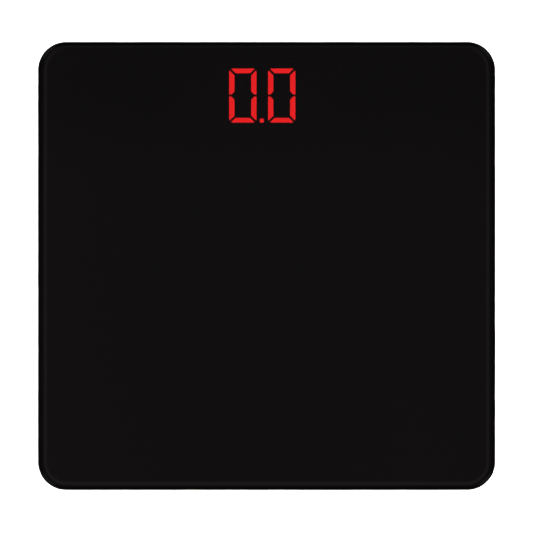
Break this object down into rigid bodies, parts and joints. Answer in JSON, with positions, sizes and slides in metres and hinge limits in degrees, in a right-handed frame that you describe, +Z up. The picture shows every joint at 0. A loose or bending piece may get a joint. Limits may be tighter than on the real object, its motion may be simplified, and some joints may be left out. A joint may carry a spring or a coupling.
{
  "type": "digital bathroom scale",
  "caption": "Flat square bathroom scale with a black tempered glass platform, a dead-front red LED readout, round sprung load-cell feet and a hinged battery door underneath",
  "frame": {"origin": "on the floor, under the middle of the platform", "axes": "+X to the user's right, +Y towards the display, +Z up"},
  "size_m": [0.3, 0.294, 0.025],
  "materials": {
    "platform_glass": "polished",
    "black_print": "satin",
    "dead_front_film": "gloss",
    "foam_tape": "matte",
    "black_abs": "satin",
    "grey_abs": "satin",
    "foot_rubber": "matte",
    "screw_steel": "satin",
    "circuit_board": "satin",
    "reflector_plastic": "matte",
    "lit_segment": "satin",
    "unlit_segment": "satin",
    "tinned_wire": "satin",
    "chip_epoxy": "gloss",
    "bright_can": "satin",
    "capacitor_sleeve": "gloss",
    "connector_nylon": "satin",
    "switch_body": "satin",
    "button_plastic": "satin",
    "spring_contact": "satin",
    "lead_sheath": "satin",
    "cell_can": "gloss",
    "cell_steel": "satin",
    "white_silicone": "satin"
  },
  "bodies": {
    "platform": {"battery_cell_1": "cell_can", "battery_cell_2": "cell_can", "battery_cell_3": "cell_can", "battery_leads": "lead_sheath", "battery_plates": "spring_contact", "battery_springs": "spring_contact", "bond_pad_front_left": "foam_tape", "bond_pad_front_right": "foam_tape", "bond_pad_rear_left": "foam_tape", "bond_pad_rear_right": "foam_tape", "cable_duct_front_left": "black_abs", "cable_duct_front_right": "black_abs", "capacitors": "capacitor_sleeve", "cell_leads_front_left": "lead_sheath", "cell_leads_front_right": "lead_sheath", "cell_leads_rear_left": "lead_sheath", "cell_leads_rear_right": "lead_sheath", "controller_chip": "chip_epoxy", "cover_screws": "screw_steel", "crystal": "bright_can", "display_filter": "dead_front_film", "display_pins": "tinned_wire", "display_reflector": "reflector_plastic", "display_segments_lit": "lit_segment", "display_segments_unlit": "unlit_segment", "electronics_housing": "black_abs", "foot_housing_front_left": "black_abs", "foot_housing_front_right": "black_abs", "foot_housing_rear_left": "black_abs", "foot_housing_rear_right": "black_abs", "gauge_seal_front_left": "white_silicone", "gauge_seal_front_right": "white_silicone", "gauge_seal_rear_left": "white_silicone", "gauge_seal_rear_right": "white_silicone", "glass_platform": "platform_glass", "housing_cover": "black_abs", "housing_tape": "foam_tape", "lead_connectors": "connector_nylon", "load_cell_front_left": "cell_steel", "load_cell_front_right": "cell_steel", "load_cell_rear_left": "cell_steel", "load_cell_rear_right": "cell_steel", "main_pcb": "circuit_board", "pcb_screws": "screw_steel", "printed_mask": "black_print", "unit_switch": "switch_body"},
    "battery_door": {"battery_door": "black_abs"},
    "unit_button": {"unit_button": "button_plastic", "switch_plunger": "connector_nylon"},
    "foot_front_left": {"foot_cup_front_left": "grey_abs", "foot_pad_front_left": "foot_rubber"},
    "foot_front_right": {"foot_cup_front_right": "grey_abs", "foot_pad_front_right": "foot_rubber"},
    "foot_rear_left": {"foot_cup_rear_left": "grey_abs", "foot_pad_rear_left": "foot_rubber"},
    "foot_rear_right": {"foot_cup_rear_right": "grey_abs", "foot_pad_rear_right": "foot_rubber"}
  },
  "joints": [
    {"name": "foot_travel_front_left", "type": "slide", "parent": "platform", "child": "foot_front_left", "axis": [0, 0, 1], "range_m": [0, 0.0004], "stiffness_N_per_m": 10000, "springref_m": -0.0006, "deforming": ["load_cell_front_left"]},
    {"name": "foot_travel_front_right", "type": "slide", "parent": "platform", "child": "foot_front_right", "axis": [0, 0, 1], "range_m": [0, 0.0004], "stiffness_N_per_m": 10000, "springref_m": -0.0006, "deforming": ["load_cell_front_right"]},
    {"name": "foot_travel_rear_left", "type": "slide", "parent": "platform", "child": "foot_rear_left", "axis": [0, 0, 1], "range_m": [0, 0.0004], "stiffness_N_per_m": 10000, "springref_m": -0.0006, "deforming": ["load_cell_rear_left"]},
    {"name": "foot_travel_rear_right", "type": "slide", "parent": "platform", "child": "foot_rear_right", "axis": [0, 0, 1], "range_m": [0, 0.0004], "stiffness_N_per_m": 10000, "springref_m": -0.0006, "deforming": ["load_cell_rear_right"]},
    {"name": "battery_door_hinge", "type": "hinge", "parent": "platform", "child": "battery_door", "pos_m": [0, 0.0491, 0.0056], "axis": [-1, 0, 0], "range_deg": [0, 90]},
    {"name": "unit_button_press", "type": "slide", "parent": "platform", "child": "unit_button", "axis": [0, 0, 1], "range_m": [0, 0.0005], "stiffness_N_per_m": 5000}
  ]
}
